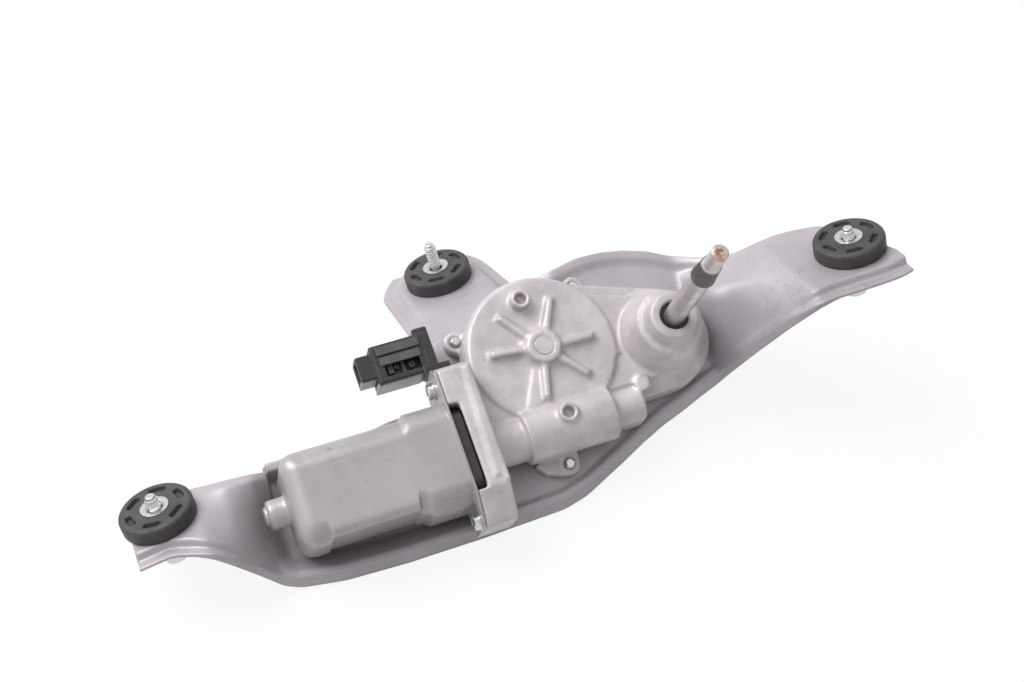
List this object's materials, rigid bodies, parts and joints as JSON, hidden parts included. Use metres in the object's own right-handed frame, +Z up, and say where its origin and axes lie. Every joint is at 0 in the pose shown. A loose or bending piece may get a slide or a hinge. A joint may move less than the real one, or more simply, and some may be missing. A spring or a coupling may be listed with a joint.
{
  "type": "wiper motor",
  "caption": "Rear wiper motor: worm-geared DC motor with spindle tower on a pressed bracket with rubber-mounted bolts and a plug socket.",
  "frame": {"origin": "on the output spindle's axis, in the plane of the tower's end face", "axes": "+X along the motor shaft from the can to the gears, +Z up as the part lies on a flat surface, with the spindle leaning 20 degrees from +Z towards -Y"},
  "size_m": [0.378, 0.1748, 0.1426],
  "materials": {
    "bracket_steel": "satin grey coat on pressed steel",
    "cast_aluminium": "die-cast skin, fine blasted",
    "can_steel": "drawn galvanised steel with light scratches",
    "zinc_steel": "bright zinc plate",
    "ground_steel": "ground steel",
    "mount_rubber": "moulded rubber",
    "seal_rubber": "oiled seal rubber",
    "black_plastic": "moulded black plastic",
    "brush_holder_plastic": "moulded dark phenolic",
    "wheel_plastic": "natural acetal",
    "tinned_brass": "tinned brass",
    "copper": "enamelled copper",
    "bronze": "sintered bronze",
    "ferrite": "sintered ferrite",
    "core_iron": "stacked iron sheets",
    "carbon": "pressed carbon"
  },
  "bodies": {
    "motor_body": {"mounting_bracket": "bracket_steel", "gear_housing": "cast_aluminium", "gear_cover": "can_steel", "cover_gasket": "seal_rubber", "housing_screws": "zinc_steel", "motor_can": "can_steel", "motor_can_screws": "zinc_steel", "rear_bearing": "bronze", "front_bearing": "bronze", "thrust_screw": "zinc_steel", "magnets": "ferrite", "brush_plate": "brush_holder_plastic", "carbon_brushes": "carbon", "brush_springs": "zinc_steel", "wheel_axle": "ground_steel", "wheel_clip": "zinc_steel", "upper_bush": "bronze", "lower_bush": "bronze", "spindle_seal": "seal_rubber", "thrust_washers": "zinc_steel", "connector_housing": "black_plastic", "connector_terminals": "tinned_brass", "park_contact_plate": "black_plastic", "park_contacts": "tinned_brass", "grommet_left": "mount_rubber", "sleeve_left": "zinc_steel", "grommet_middle": "mount_rubber", "sleeve_middle": "zinc_steel", "grommet_right": "mount_rubber", "sleeve_right": "zinc_steel"},
    "armature": {"armature_shaft": "ground_steel", "armature_core": "core_iron", "windings": "copper", "commutator": "copper"},
    "wheel": {"worm_wheel": "wheel_plastic", "crank_pin": "ground_steel", "park_ring": "tinned_brass"},
    "rod": {"connecting_rod": "zinc_steel"},
    "spindle": {"output_spindle": "ground_steel", "spindle_lever": "zinc_steel", "lever_rivet": "ground_steel", "spindle_clip": "zinc_steel"},
    "left_bolt": {"bolt_left": "zinc_steel"},
    "middle_bolt": {"bolt_middle": "zinc_steel"},
    "right_bolt": {"bolt_right": "zinc_steel"}
  },
  "joints": [
    {"name": "armature_spin", "type": "hinge", "parent": "motor_body", "child": "armature", "pos_m": [-0.0598, -0.01564, -0.04028], "axis": [1, 0, 0], "continuous": true},
    {"name": "wheel_spin", "type": "hinge", "parent": "motor_body", "child": "wheel", "pos_m": [-0.0598, 0.01948, -0.0275], "axis": [0, -0.342, 0.9397], "continuous": true},
    {"name": "rod_swing", "type": "hinge", "parent": "wheel", "child": "rod", "pos_m": [-0.05583, 0.03534, -0.03183], "axis": [0, -0.342, 0.9397], "continuous": true},
    {"name": "spindle_sweep", "type": "hinge", "parent": "motor_body", "child": "spindle", "pos_m": [0, 0, 0], "axis": [0, -0.342, 0.9397], "range_deg": [-54, 54]},
    {"name": "left_bolt_slide", "type": "slide", "parent": "motor_body", "child": "left_bolt", "axis": [-0.1357, 0.3599, 0.9231], "range_m": [0, 0.0074]},
    {"name": "middle_bolt_slide", "type": "slide", "parent": "motor_body", "child": "middle_bolt", "axis": [-0.1357, 0.3599, 0.9231], "range_m": [-0.0088, 0]},
    {"name": "right_bolt_slide", "type": "slide", "parent": "motor_body", "child": "right_bolt", "axis": [-0.1357, 0.3599, 0.9231], "range_m": [0, 0.0087]}
  ],
  "couplings": [
    {"joint": "wheel_spin", "follows": "armature_spin", "ratio": -0.019608},
    {"joint": "rod_swing", "follows": "armature_spin", "ratio": 0.019608}
  ]
}
